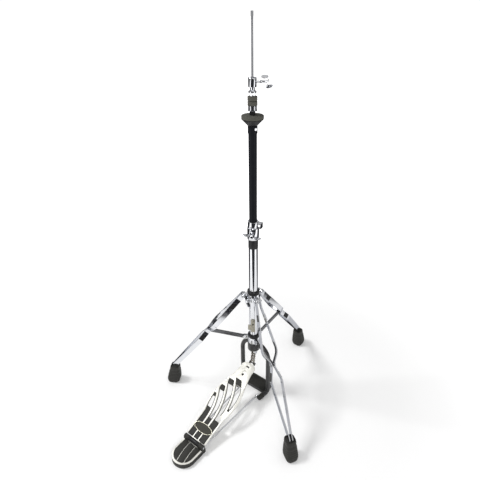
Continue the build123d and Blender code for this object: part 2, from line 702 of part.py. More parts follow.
def make_pedal(radius_rods):
    place = Pos(0, hinge_y, hinge_z) * Rot(board_slope, 0, 0)
    top = board_thick / 2
    body_start = knuckle_r + 2
    toe_at = board_length - toe_plate_length / 2
    toe_plate = RectangleRounded(2 * half_width(toe_at), toe_plate_length, toe_corner)
    board = band_between(lambda u: -half_width(u), half_width, body_start, toe_at, -top, board_thick)
    board += Pos(0, toe_at, -top) * extrude(toe_plate, board_thick)
    board += block(-knuckle_half, knuckle_half, 0, body_start + 4, -top, top)
    board += bar_x(knuckle_r, -knuckle_half, knuckle_half)
    board -= bar_x(hinge_pin_r + running, -knuckle_half - 1, knuckle_half + 1)
    inlays = []
    for low, high, start, end, open_start, open_end in board_channels():
        recess = band_between(low, high, start, end, top - inlay_depth, inlay_depth + inlay_proud)
        through = band_between(lambda u: low(u) + lining, lambda u: high(u) - lining, open_start, open_end,
                               -top - 1, board_thick + 3)
        board = board - recess - through
        inlays.extend((recess - through).solids())
    board -= Pos(0, square_hole_at, 0) * Box(square_hole, square_hole, 20)
    board -= Pos(0, round_hole_at, 0) * Cylinder(round_hole_r, 20)
    board -= Pos(0, slot_hole_at, 0) * Box(2 * slot_hole, slot_hole, 20)
    keep("footboard", place * board)
    keep("footboard_inlays", *[place * pad for pad in inlays])
    badge = Pos(0, badge_at, top + inlay_proud) * extrude(Ellipse(badge_half_length, badge_half_width),
                                                          badge_thick)
    keep("badge_plate", place * badge)

    toe_u = hypot(toe_pin_y - hinge_y, toe_pin_z - hinge_z)
    toe_angle = degrees(atan2(toe_pin_z - hinge_z, toe_pin_y - hinge_y)) - board_slope
    pin_u, pin_w = toe_u * cos(radians(toe_angle)), toe_u * sin(radians(toe_angle))
    bracket_inner = chain_half + 1.4
    bracket_outer = bracket_inner + bracket_wall
    bracket_start, bracket_end = board_length - 22, board_length - 3
    bracket = block(-bracket_outer, bracket_outer, bracket_start, bracket_end, -top - bracket_wall, -top)
    for side in (1, -1):
        x0, x1 = sorted((side * bracket_inner, side * bracket_outer))
        bracket += block(x0, x1, bracket_start, pin_u, pin_w - bracket_eye_r, pin_w + bracket_eye_r / 2)
        bracket += bar_x(bracket_eye_r, x0, x1, pin_u, pin_w)
    bracket += bar_x(toe_pin_r, -bracket_outer, bracket_outer, pin_u, pin_w)
    keep("toe_bracket", place * (bracket - board))

    straight = heel_length - heel_half
    front = hinge_y + knuckle_r + 2
    rear = hinge_y - straight
    heel = block(-heel_half, heel_half, rear, front, 0, heel_thick)
    heel += Pos(0, rear, 0) * Cylinder(heel_half, heel_thick, align=LOW)
    for side in (1, -1):
        x0, x1 = sorted((side * (knuckle_half + gap), side * heel_half))
        heel += block(x0, x1, hinge_y - knuckle_r, hinge_y + knuckle_r, heel_thick - 1, hinge_z)
        heel += bar_x(knuckle_r, x0, x1, hinge_y, hinge_z)
    pin = bar_x(hinge_pin_r, -heel_half - 1.5, heel_half + 1.5, hinge_y, hinge_z)
    heel -= pin
    for rod in radius_rods:
        heel -= rod
    keep("heel_plate", heel)
    border = 6.0
    pad = block(-heel_half + border, heel_half - border, rear, hinge_y - knuckle_r - gap, heel_thick,
                heel_thick + heel_inlay_thick)
    pad += Pos(0, rear, heel_thick) * Cylinder(heel_half - border, heel_inlay_thick, align=LOW)
    for side in (1, -1):
        def line(u):
            return side * rib_line_x + heel_line_sweep * u ** 2
        gap_line = band_between(lambda u: line(u) - heel_line_half, lambda u: line(u) + heel_line_half,
                                -heel_length - 4, 0, heel_thick - 1, 10)
        pad -= Pos(0, hinge_y, 0) * gap_line
    keep("heel_inlay", *pad.solids())
    return pin


make_tubes()
make_height_clamp()
make_memory_lock()
make_pull_rod()
make_chain()
make_spring()
make_seat()
make_clutch()
make_upper_collar()
for name, angle in leg_azimuths.items():
    make_leg(name, angle)
pins = make_lower_collar()
make_struts()
rods = make_frame(pins)
hinge_pin = make_pedal(rods)
keep("base_pins", hinge_pin, *pins)

for name, shape in parts.items():
    export_step(shape, f"parts/{name}.step")
print(len(parts), "nodes written")
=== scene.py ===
# %% [markdown]
# # A hi-hat stand
# The stand arrives as a fixed frame of metal parts that already fit and move. This lesson gives that frame
# its looks: plated, painted and rubber finishes, softened edges on the castings, and new meshes for the
# pieces whose shape needs more than the frame holds.

# %% Load the frame
import json
import bmesh
import bpy
from math import atan, cos, degrees, hypot, pi, radians, sin
from mathutils import Matrix, Vector, noise as smooth_noise


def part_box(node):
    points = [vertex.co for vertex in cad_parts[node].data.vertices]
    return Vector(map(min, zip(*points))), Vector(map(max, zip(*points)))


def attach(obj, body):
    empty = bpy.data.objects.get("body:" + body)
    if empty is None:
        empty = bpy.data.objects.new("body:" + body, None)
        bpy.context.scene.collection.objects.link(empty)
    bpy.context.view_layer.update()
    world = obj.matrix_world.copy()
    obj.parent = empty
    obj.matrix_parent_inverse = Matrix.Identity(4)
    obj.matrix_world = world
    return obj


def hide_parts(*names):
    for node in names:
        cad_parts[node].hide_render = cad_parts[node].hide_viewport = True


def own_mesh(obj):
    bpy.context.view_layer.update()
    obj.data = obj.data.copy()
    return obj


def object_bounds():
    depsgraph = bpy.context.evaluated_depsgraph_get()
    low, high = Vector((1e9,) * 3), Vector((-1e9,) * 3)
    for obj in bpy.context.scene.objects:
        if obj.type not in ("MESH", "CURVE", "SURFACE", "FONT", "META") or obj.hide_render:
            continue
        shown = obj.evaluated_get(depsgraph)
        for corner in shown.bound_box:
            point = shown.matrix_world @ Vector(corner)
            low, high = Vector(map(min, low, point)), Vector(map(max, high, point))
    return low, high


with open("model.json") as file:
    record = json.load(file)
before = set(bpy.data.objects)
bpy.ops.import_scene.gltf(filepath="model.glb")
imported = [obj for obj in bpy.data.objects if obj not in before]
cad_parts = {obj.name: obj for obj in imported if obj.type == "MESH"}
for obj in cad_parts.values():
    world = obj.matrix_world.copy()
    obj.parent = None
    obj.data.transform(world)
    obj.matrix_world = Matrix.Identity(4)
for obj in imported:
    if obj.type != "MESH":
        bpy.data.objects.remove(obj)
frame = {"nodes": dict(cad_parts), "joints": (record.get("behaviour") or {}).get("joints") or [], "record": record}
cad_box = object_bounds()
joints = {joint["name"]: joint for joint in frame["joints"]}

# %% [markdown]
# ## Camera
# The stand is tall and thin, so the camera stands off to the right of the pedal, level with the top of the
# rod, and looks down at it. A lens a little wider than normal makes the pedal look large beside the far foot.

# %% Camera
camera_distance = 1.094      # metres from the tube axis, along the floor
camera_height = 1.201
camera_azimuth = 38.0
camera_pitch = 29.0
camera_roll = -0.3

camera_data = bpy.data.cameras.new("camera")
camera_data.sensor_width = 36.0
camera_data.lens = 32.6
camera_data.shift_x = -0.0275
camera = bpy.data.objects.new("camera", camera_data)
bpy.context.scene.collection.objects.link(camera)
turn = radians(camera_azimuth)
camera.matrix_world = (
    Matrix.Translation((camera_distance * sin(turn), -camera_distance * cos(turn), camera_height))
    @ Matrix.Rotation(turn, 4, "Z")
    @ Matrix.Rotation(radians(90 - camera_pitch), 4, "X")
    @ Matrix.Rotation(radians(camera_roll), 4, "Z")
)
bpy.context.scene.camera = camera
print("camera at", tuple(round(v, 3) for v in camera.matrix_world.translation))

# %% [markdown]
# ## Small helpers for node trees
# Every finish below is a node tree. These two helpers keep the wiring short: one adds a node with values
# set on its sockets, and the other links an output to an input.


# %% Node helpers
def add_node(tree, kind, settings=None, **inputs):
    node = tree.nodes.new(kind)
    for key, value in (settings or {}).items():
        setattr(node, key, value)
    for key, value in inputs.items():
        node.inputs[key.replace("_", " ")].default_value = value
    return node


def new_group(name, ins, outs):
    """A shader node group with its named sockets."""
    group = bpy.data.node_groups.new(name, "ShaderNodeTree")
    for direction, sockets in (("INPUT", ins), ("OUTPUT", outs)):
        for socket_name, socket_type, default in sockets:
            socket = group.interface.new_socket(socket_name, in_out=direction, socket_type=socket_type)
            if default is not None:
                socket.default_value = default
    return group, group.nodes.new("NodeGroupInput"), group.nodes.new("NodeGroupOutput")


FLOAT, COLOUR = "NodeSocketFloat", "NodeSocketColor"

# %% [markdown]
# ## What the chrome sees
# A white sweep with no visible horizon gives soft, even light, but plated tube would vanish against white, so
# photographers stand dark cards round it: the dark lines seen in chrome are those cards. Cards could be real
# planes out of view; here the sky and the floor turn dark only for reflected rays, inside wedges that begin a
# little way out from the stand and widen with distance. Each tube then carries a dark wedge of its own, and
# the cards throw no shadow and tint nothing.

# %% Card wedges
card_count = 3
card_azimuth = -52.0
card_dark = (0.022, 0.023, 0.027, 1.0)


def card_wave(tree, vector):
    """The cosine of the card count times the azimuth: 1 down the middle of each card."""
    split = add_node(tree, "ShaderNodeSeparateXYZ")
    tree.links.new(vector, split.inputs[0])
    azimuth = add_node(tree, "ShaderNodeMath", {"operation": "ARCTAN2"})
    tree.links.new(split.outputs["Y"], azimuth.inputs[0])
    tree.links.new(split.outputs["X"], azimuth.inputs[1])
    phase = add_node(tree, "ShaderNodeMath", {"operation": "MULTIPLY_ADD"})
    phase.inputs[1].default_value = card_count
    phase.inputs[2].default_value = -card_count * radians(card_azimuth)
    tree.links.new(azimuth.outputs[0], phase.inputs[0])
    wave = add_node(tree, "ShaderNodeMath", {"operation": "COSINE"})
    tree.links.new(phase.outputs[0], wave.inputs[0])
    return wave.outputs[0], split


def soft_step(tree, value, low, high, start=0.0, end=1.0):
    step = add_node(tree, "ShaderNodeMapRange", {"interpolation_type": "SMOOTHSTEP"})
    for socket, number in (("From Min", low), ("From Max", high), ("To Min", start), ("To Max", end)):
        step.inputs[socket].default_value = number
    tree.links.new(value, step.inputs["Value"])
    return step.outputs[0]


def multiply(tree, first, second):
    node = add_node(tree, "ShaderNodeMath", {"operation": "MULTIPLY"})
    tree.links.new(first, node.inputs[0])
    tree.links.new(second, node.inputs[1])
    return node.outputs[0]


# %% Sky
scene = bpy.context.scene
scene.view_settings.view_transform = "Standard"
world = bpy.data.worlds.new("studio")
scene.world = world
world.use_nodes = True
sky = world.node_tree
sky.nodes.clear()
sky_coords = add_node(sky, "ShaderNodeTexCoord")
wave, sky_split = card_wave(sky, sky_coords.outputs["Generated"])
card_edge = soft_step(sky, wave, -0.55, -0.10)
low_sky = soft_step(sky, sky_split.outputs["Z"], 0.25, 0.75, 1.0, 0.0)
card_mask = multiply(sky, card_edge, low_sky)
sky_path = add_node(sky, "ShaderNodeLightPath")
sky_mask = multiply(sky, card_mask, sky_path.outputs["Is Glossy Ray"])
sky_mix = add_node(sky, "ShaderNodeMix", {"data_type": "RGBA"})
sky_mix.inputs["A"].default_value = (1.0, 1.0, 1.0, 1.0)
sky_strength = 0.61
sky_power = soft_step(sky, sky_path.outputs["Is Camera Ray"], 0.0, 1.0, sky_strength, 1.05)
sky_mix.inputs["B"].default_value = card_dark
sky.links.new(sky_mask, sky_mix.inputs["Factor"])
sky_light = add_node(sky, "ShaderNodeBackground")
sky.links.new(sky_power, sky_light.inputs["Strength"])
sky.links.new(sky_mix.outputs["Result"], sky_light.inputs["Color"])
sky_out = add_node(sky, "ShaderNodeOutputWorld")
sky.links.new(sky_light.outputs[0], sky_out.inputs["Surface"])
print("world nodes", len(sky.nodes))

# %% Floor
floor_half = 30.0
floor_mesh = bpy.data.meshes.new("floor")
work = bmesh.new()
bmesh.ops.create_grid(work, x_segments=1, y_segments=1, size=floor_half)
work.to_mesh(floor_mesh)
work.free()
floor = bpy.data.objects.new("floor", floor_mesh)
scene.collection.objects.link(floor)
floor.location.z = cad_box[0][2] - 0.0005

card_start = 0.62            # metres from the tube axis to the point of each wedge
floor_finish = bpy.data.materials.new("floor_paper")
floor_finish.use_nodes = True
paper = floor_finish.node_tree
paper.nodes.clear()
paper_coords = add_node(paper, "ShaderNodeTexCoord")
wave, _ = card_wave(paper, paper_coords.outputs["Object"])
reach = add_node(paper, "ShaderNodeVectorMath", {"operation": "LENGTH"})
paper.links.new(paper_coords.outputs["Object"], reach.inputs[0])
share = add_node(paper, "ShaderNodeMath", {"operation": "DIVIDE"})
share.inputs[0].default_value = card_start
paper.links.new(reach.outputs["Value"], share.inputs[1])
cube = add_node(paper, "ShaderNodeMath", {"operation": "POWER"})
cube.inputs[1].default_value = 2.8
paper.links.new(share.outputs[0], cube.inputs[0])
narrowing = add_node(paper, "ShaderNodeMath", {"operation": "MULTIPLY"})
narrowing.inputs[1].default_value = 1.3
paper.links.new(cube.outputs[0], narrowing.inputs[0])
inside = add_node(paper, "ShaderNodeMath", {"operation": "SUBTRACT"})
paper.links.new(wave, inside.inputs[0])
paper.links.new(narrowing.outputs[0], inside.inputs[1])
card_edge = soft_step(paper, inside.outputs[0], -0.80, -0.55)
paper_path = add_node(paper, "ShaderNodeLightPath")
paper_mask = multiply(paper, card_edge, paper_path.outputs["Is Glossy Ray"])
paper_diffuse = add_node(paper, "ShaderNodeBsdfDiffuse", Color=(0.90, 0.90, 0.90, 1.0))
paper_glow = add_node(paper, "ShaderNodeEmission", Color=(1.0, 1.0, 1.0, 1.0))
paper_level = soft_step(paper, reach.outputs["Value"], 0.45, 1.5, 0.09, 0.8)
paper.links.new(paper_level, paper_glow.inputs["Strength"])
paper_sum = add_node(paper, "ShaderNodeAddShader")
paper.links.new(paper_diffuse.outputs[0], paper_sum.inputs[0])
paper.links.new(paper_glow.outputs[0], paper_sum.inputs[1])
paper_dark = add_node(paper, "ShaderNodeEmission", Color=card_dark, Strength=1.0)
paper_mix = add_node(paper, "ShaderNodeMixShader")
paper.links.new(paper_mask, paper_mix.inputs[0])
paper.links.new(paper_sum.outputs[0], paper_mix.inputs[1])
paper.links.new(paper_dark.outputs[0], paper_mix.inputs[2])
paper_out = add_node(paper, "ShaderNodeOutputMaterial")
paper.links.new(paper_mix.outputs[0], paper_out.inputs[0])
floor_mesh.materials.append(floor_finish)


# %% Lamps
def soft_lamp(name, place, target, size, power):
    data = bpy.data.lights.new(name, "AREA")
    data.energy = power
    data.size = size
    lamp = bpy.data.objects.new(name, data)
    lamp.location = place
    lamp.rotation_euler = (Vector(target) - Vector(place)).to_track_quat("-Z", "Y").to_euler()
    scene.collection.objects.link(lamp)
    return lamp


key = soft_lamp("key", (-1.35, -0.85, 2.9), (0, -0.1, 0.1), 0.6, 46)
fill = soft_lamp("fill", (1.6, -1.4, 1.6), (0, 0, 0.2), 0.7, 9)
print("lamps", key.name, fill.name)

# %% [markdown]
# ## Shared surface effects
# Worn edges and fine mottling turn up in nearly every finish, so each is one node group with its own inputs; on
# the struts the worn-edge group paints highlights, not wear.
# Both read Object coordinates: the pieces sit at the origin, so the pattern is fixed in the object's frame.

# %% Mottle group
mottle, mottle_in, mottle_out = new_group(
    "mottle",
    [("Scale", FLOAT, 200.0), ("Low", FLOAT, 0.3), ("High", FLOAT, 0.5), ("Colour A", COLOUR, None),
     ("Colour B", COLOUR, None)],
    [("Colour", COLOUR, None), ("Value", FLOAT, None), ("Height", FLOAT, None)],
)
mottle_coords = add_node(mottle, "ShaderNodeTexCoord")
mottle_noise = add_node(mottle, "ShaderNodeTexNoise", Detail=4.0)
mottle.links.new(mottle_coords.outputs["Object"], mottle_noise.inputs["Vector"])
mottle.links.new(mottle_in.outputs["Scale"], mottle_noise.inputs["Scale"])
mottle_range = add_node(mottle, "ShaderNodeMapRange")
mottle_range.inputs["From Min"].default_value = 0.3
mottle_range.inputs["From Max"].default_value = 0.7
mottle.links.new(mottle_noise.outputs["Fac"], mottle_range.inputs["Value"])
mottle.links.new(mottle_in.outputs["Low"], mottle_range.inputs["To Min"])
mottle.links.new(mottle_in.outputs["High"], mottle_range.inputs["To Max"])
mottle_mix = add_node(mottle, "ShaderNodeMix", {"data_type": "RGBA"})
mottle.links.new(mottle_noise.outputs["Fac"], mottle_mix.inputs["Factor"])
mottle.links.new(mottle_in.outputs["Colour A"], mottle_mix.inputs["A"])
mottle.links.new(mottle_in.outputs["Colour B"], mottle_mix.inputs["B"])
mottle.links.new(mottle_mix.outputs["Result"], mottle_out.inputs["Colour"])
mottle.links.new(mottle_range.outputs[0], mottle_out.inputs["Value"])
mottle.links.new(mottle_noise.outputs["Fac"], mottle_out.inputs["Height"])

# %% Edge wear and painted highlight group
wear_and_glint, wear_in, wear_out = new_group(
    "edge_wear_and_glint",
    [("Base", COLOUR, None), ("Bare", COLOUR, None), ("Amount", FLOAT, 0.5)],
    [("Colour", COLOUR, None), ("Mask", FLOAT, None)],
)
# Pointy edges take the Bare colour: worn metal on most finishes, a painted highlight on the struts.
wear_geometry = add_node(wear_and_glint, "ShaderNodeNewGeometry")
wear_noise = add_node(wear_and_glint, "ShaderNodeTexNoise", Scale=90.0, Detail=6.0)
wear_coords = add_node(wear_and_glint, "ShaderNodeTexCoord")
wear_and_glint.links.new(wear_coords.outputs["Object"], wear_noise.inputs["Vector"])
wear_edge = add_node(wear_and_glint, "ShaderNodeMapRange")
wear_edge.inputs["From Min"].default_value = 0.54
wear_edge.inputs["From Max"].default_value = 0.66
wear_and_glint.links.new(wear_geometry.outputs["Pointiness"], wear_edge.inputs["Value"])
wear_times = add_node(wear_and_glint, "ShaderNodeMath", {"operation": "MULTIPLY", "use_clamp": True})
wear_and_glint.links.new(wear_edge.outputs[0], wear_times.inputs[0])
wear_and_glint.links.new(wear_noise.outputs["Fac"], wear_times.inputs[1])
wear_amount = add_node(wear_and_glint, "ShaderNodeMath", {"operation": "MULTIPLY", "use_clamp": True})
wear_and_glint.links.new(wear_times.outputs[0], wear_amount.inputs[0])
wear_and_glint.links.new(wear_in.outputs["Amount"], wear_amount.inputs[1])
wear_mix = add_node(wear_and_glint, "ShaderNodeMix", {"data_type": "RGBA"})
wear_and_glint.links.new(wear_amount.outputs[0], wear_mix.inputs["Factor"])
wear_and_glint.links.new(wear_in.outputs["Base"], wear_mix.inputs["A"])
wear_and_glint.links.new(wear_in.outputs["Bare"], wear_mix.inputs["B"])
wear_and_glint.links.new(wear_mix.outputs["Result"], wear_out.inputs["Colour"])
wear_and_glint.links.new(wear_amount.outputs[0], wear_out.inputs["Mask"])


# %% [markdown]
# ## Finishes
# One function builds every finish from the two groups: mottle gives the colour and roughness their slow variation
# and a bump its grain, and edge wear lets the bare metal show on corners. On the struts that edge colour is a
# painted highlight, and their dark base is a painted dark reflection.


# %% Finish builder
def finish_of(name, dark, light, rough, metallic=0.0, grain=200.0, bump=0.0, bare_and_glint=None, wear_and_glint_by=0.0,
              coat=0.0, specular=0.5, edge_tint=None, ior=1.5):
    material = bpy.data.materials.new(name)
    material.use_nodes = True
    tree = material.node_tree
    shader = tree.nodes["Principled BSDF"]
    shader.inputs["Metallic"].default_value = metallic
    shader.inputs["Coat Weight"].default_value = coat
    shader.inputs["Specular IOR Level"].default_value = specular
    shader.inputs["IOR"].default_value = ior
    if edge_tint:
        shader.inputs["Specular Tint"].default_value = (*edge_tint, 1.0)
    variation = add_node(tree, "ShaderNodeGroup", {"node_tree": mottle})
    for socket, value in (("Scale", grain), ("Low", rough[0]), ("High", rough[1]),
                          ("Colour A", (*dark, 1.0)), ("Colour B", (*light, 1.0))):
        variation.inputs[socket].default_value = value
    tree.links.new(variation.outputs["Value"], shader.inputs["Roughness"])
    colour = variation.outputs["Colour"]
    # The edge colour is bare worn metal, except on the struts, where it is a painted highlight.
    if bare_and_glint:
        edges = add_node(tree, "ShaderNodeGroup", {"node_tree": wear_and_glint})
        edges.inputs["Bare"].default_value = (*bare_and_glint, 1.0)
        edges.inputs["Amount"].default_value = wear_and_glint_by
        tree.links.new(colour, edges.inputs["Base"])
        colour = edges.outputs["Colour"]
    tree.links.new(colour, shader.inputs["Base Color"])
    if bump:
        relief = add_node(tree, "ShaderNodeBump", Strength=bump, Distance=0.0004)
        tree.links.new(variation.outputs["Height"], relief.inputs["Height"])
        tree.links.new(relief.outputs[0], shader.inputs["Normal"])
    return material


chrome_edge = (0.24, 0.25, 0.28)     # polished plate darkens towards a grazing view
finishes = {
    "chrome": finish_of("chrome_plate", (0.72, 0.73, 0.76), (0.84, 0.85, 0.87), (0.06, 0.13), 1.0, 60.0,
                        edge_tint=chrome_edge),
    "steel": finish_of("zinc_steel", (0.28, 0.27, 0.24), (0.48, 0.46, 0.42), (0.25, 0.42), 1.0, 300.0, 0.2),
    "black_gloss": finish_of("black_gloss_paint", (0.009, 0.0095, 0.012), (0.014, 0.015, 0.018), (0.14, 0.22),
                             0.0, 80.0, ior=1.12),
    "black_satin": finish_of("black_satin_paint", (0.012, 0.012, 0.013), (0.030, 0.030, 0.031), (0.26, 0.42),
                             0.0, 260.0, 0.15, (0.3, 0.3, 0.3), 0.5, 0.0, 0.45),
    "nylon": finish_of("black_nylon", (0.006, 0.006, 0.007), (0.018, 0.018, 0.019), (0.35, 0.5), 0.0, 400.0,
                       0.15, specular=0.3),
    "felt": finish_of("grey_felt", (0.035, 0.035, 0.029), (0.115, 0.113, 0.098), (0.9, 1.0), 0.0, 1400.0, 1.0,
                      specular=0.2),
    "rubber": finish_of("moulded_rubber", (0.010, 0.010, 0.009), (0.038, 0.037, 0.032), (0.5, 0.75), 0.0,
                        700.0, 0.5, specular=0.4),
    "ivory": finish_of("pale_cast_metal", (0.70, 0.69, 0.64), (0.84, 0.83, 0.775), (0.3, 0.45), 0.15, 40.0,
                       0.05, (0.22, 0.21, 0.19), 0.5),
    "badge": finish_of("badge_enamel", (0.030, 0.029, 0.022), (0.062, 0.060, 0.047), (0.5, 0.65), 0.0, 200.0,
                       specular=0.2),
    "badge_rim": finish_of("badge_rim_metal", (0.50, 0.48, 0.38), (0.66, 0.64, 0.54), (0.25, 0.4), 0.9,
                           200.0),
    "chain": finish_of("dark_chain", (0.05, 0.042, 0.037), (0.22, 0.195, 0.17), (0.25, 0.45), 1.0, 260.0,
                       bare_and_glint=(0.6, 0.57, 0.52), wear_and_glint_by=1.0),
    # Struts: the dark colour is a painted dark reflection and the bright edge colour is a painted highlight, not
    # plating and wear.
    "strut_painted_reflection": finish_of("strut_painted_dark_reflection", (0.075, 0.076, 0.080), (0.17, 0.172, 0.18), (0.16, 0.28),
                            1.0, 160.0, bare_and_glint=(0.75, 0.75, 0.77), wear_and_glint_by=0.8),
    "tan": finish_of("tan_plated_steel", (0.30, 0.28, 0.22), (0.46, 0.44, 0.37), (0.3, 0.45), 0.6, 120.0),
}
print("finishes", len(finishes))

# %% [markdown]
# ## A finish for every node
# The frame's nodes keep their shape, so what a node needs first is its finish. The rule is by name, and
# anything not named here is plated.

# %% Assign finishes
by_finish = {
    "black_gloss": ["upper_tube", "seat_housing"],
    "black_satin": ["frame_yoke", "frame_post_right", "frame_post_left", "base_plate", "toe_bracket"],
    "nylon": ["tube_sleeve", "upper_tube_bush", "upper_collar_ring", "lower_collar_ring", "rod_guide",
              "spring_seat", "seat_cup", "seat_sleeve", "leg_pads_right", "leg_pads_left", "leg_pads_back"],
    "felt": ["seat_felt", "clutch_felts"],
    "rubber": ["leg_foot_right", "leg_foot_left", "leg_foot_back", "frame_tips", "base_mat",
               "footboard_inlays", "heel_inlay"],
    "ivory": ["footboard", "heel_plate"],
    "badge": ["badge_plate"],
    "chain": ["chain"],
    "tan": ["tension_clip"],
    "steel": ["lower_pull_rod", "rod_coupler", "return_spring"],
    # The struts take the painted dark reflection with painted edge highlights.
    "strut_painted_reflection": ["strut_right", "strut_left", "strut_back"],
}
finish_for = {node: finish for finish, nodes in by_finish.items() for node in nodes}
for node, piece in frame["nodes"].items():
    piece.data.materials.clear()
    piece.data.materials.append(finishes[finish_for.get(node, "chrome")])
print("plated nodes", sum(node not in finish_for for node in frame["nodes"]))

# %% [markdown]
# ## Softened castings
# A real casting or stamping has no knife edge: each edge catches a thin line of light. A copy of the node is
# merged, its flat faces are joined up again, and a Bevel rounds every sharp edge. The copy then stands for
# the node.

# %% Footboard frame
board_slope = 19.6
hinge = Vector(joints["pedal_hinge"]["pos_m"])
board_place = Matrix.Translation(hinge) @ Matrix.Rotation(radians(board_slope), 4, "X")
print("hinge at", tuple(round(v, 3) for v in hinge))

# %% Softened copies
node_body = {node: body for body, nodes in frame["record"]["behaviour"]["bodies"].items() for node in nodes}


def softened(node, width, segments=2):
    """A copy of a node whose sharp edges are rounded by width, in metres."""
    mesh = bpy.data.meshes.new(node + "_soft")
    work = bmesh.new()
    work.from_mesh(frame["nodes"][node].data)
    bmesh.ops.remove_doubles(work, verts=work.verts, dist=1e-6)
    bmesh.ops.dissolve_limit(work, angle_limit=radians(1.0), verts=work.verts, edges=work.edges)
    for face in work.faces:
        face.smooth = True
    work.to_mesh(mesh)
    work.free()
    piece = bpy.data.objects.new(node + "_soft", mesh)
    scene.collection.objects.link(piece)
    mesh.materials.append(finishes[finish_for.get(node, "chrome")])
    rounding = piece.modifiers.new("rounding", "BEVEL")
    rounding.width = width
    rounding.segments = segments
    rounding.limit_method = "ANGLE"
    rounding.angle_limit = radians(32)
    rounding.use_clamp_overlap = True
    rounding.harden_normals = True
    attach(piece, node_body[node])
    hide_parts(node)
    return piece


edge_width = {
    "footboard": 0.0007, "heel_plate": 0.0016, "upper_collar": 0.0010, "lower_collar": 0.0008,
    "height_clamp": 0.0010, "memory_lock": 0.0008, "frame_yoke": 0.0010, "base_plate": 0.0010,
    "footboard_inlays": 0.0003, "heel_inlay": 0.0004, "toe_bracket": 0.0005, "chain_clevis": 0.0005,
    "tension_clip": 0.0004, "seat_cup": 0.0010, "seat_housing": 0.0006, "clutch_body": 0.0004,
    "clutch_nut": 0.0005, "strut_right": 0.0006, "strut_left": 0.0006, "strut_back": 0.0006,
    "base_mat": 0.0003, "frame_tips": 0.0012, "tube_sleeve": 0.0005,
}
soft = {node: softened(node, width) for node, width in edge_width.items()}
print("softened", len(soft))


# %% [markdown]
# ## Rubber across the hinge, and a dark lower heel
# On the real pedal the rubber runs straight across the hinge. The heel's faces below a set height, and those at
# its hinge end, take the dark rubber finish. A second finish on the same mesh does both: each face is given one
# finish or the other by where its middle is.


# %% Second finishes
def second_finish(piece, finish, chosen):
    piece.data.materials.append(finishes[finish])
    index = len(piece.data.materials) - 1
    count = 0
    for face in piece.data.polygons:
        if chosen(face.center):
            face.material_index = index
            count += 1
    return count


to_board = board_place.inverted()
knuckle_reach, heel_dark_below = 0.0125, 0.0118
print("knuckle faces", second_finish(soft["footboard"], "nylon", lambda c: (to_board @ c).y < knuckle_reach))
# Heel faces below a set height, and those at the hinge end, take the dark rubber finish.
print("dark heel faces", second_finish(soft["heel_plate"], "rubber",
                                  lambda c: c.z < heel_dark_below or c.y > hinge.y - 0.0085))


# %% [markdown]
# ## Making and handing over a new piece
# A new mesh is built in a bmesh, turned and moved into place while it is still loose vertices, and given its
# finish, body and the node that it stands for in one call.


# %% New piece helper
def new_piece(name, work, finish, body, replaces=(), smooth_angle=35.0):
    bmesh.ops.recalc_face_normals(work, faces=work.faces)
    mesh = bpy.data.meshes.new(name)
    for face in work.faces:
        face.smooth = True
    for edge in work.edges:
        if len(edge.link_faces) == 2 and edge.calc_face_angle() > radians(smooth_angle):
            edge.smooth = False
    work.to_mesh(mesh)
    work.free()
    piece = bpy.data.objects.new(name, mesh)
    scene.collection.objects.link(piece)
    mesh.materials.append(finishes[finish])
    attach(piece, body)
    if replaces:
        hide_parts(*replaces)
    return piece


def spun(profile, steps=64):
    """A turned shape: the profile is (radius, height) points, and its ends lie on the axis or close."""
    work = bmesh.new()
    verts = [work.verts.new((r, 0.0, z)) for r, z in profile]
    edges = [work.edges.new((a, b)) for a, b in zip(verts, verts[1:])]
    edges.append(work.edges.new((verts[-1], verts[0])))
    bmesh.ops.spin(work, geom=verts + edges, cent=(0, 0, 0), axis=(0, 0, 1), angle=2 * pi, steps=steps,
                   use_merge=True)
    bmesh.ops.remove_doubles(work, verts=work.verts, dist=1e-6)
    return work


# %% [markdown]
# ## Rubber feet
# Each foot is a heavy moulding with grooves round it, wider at the floor than where the leg enters. It starts
# as a box, is cut across at each groove, and is drawn in ring by ring.

# %% Rubber feet
tripod = {"right": -30.0, "left": -150.0, "back": 90.0}     # degrees round from the x axis
foot_taper = 1.25                                           # how late the sides draw in above the belly
groove_every, groove_depth, groove_span = 3, 0.0011, (0.04, 0.62)
pinch_at, pinch_reach, pinch_depth = 0.78, 0.08, 0.0012     # the neck below the crown
foot_rim, foot_sunk = 0.0035, 0.004                         # the recess where the leg enters


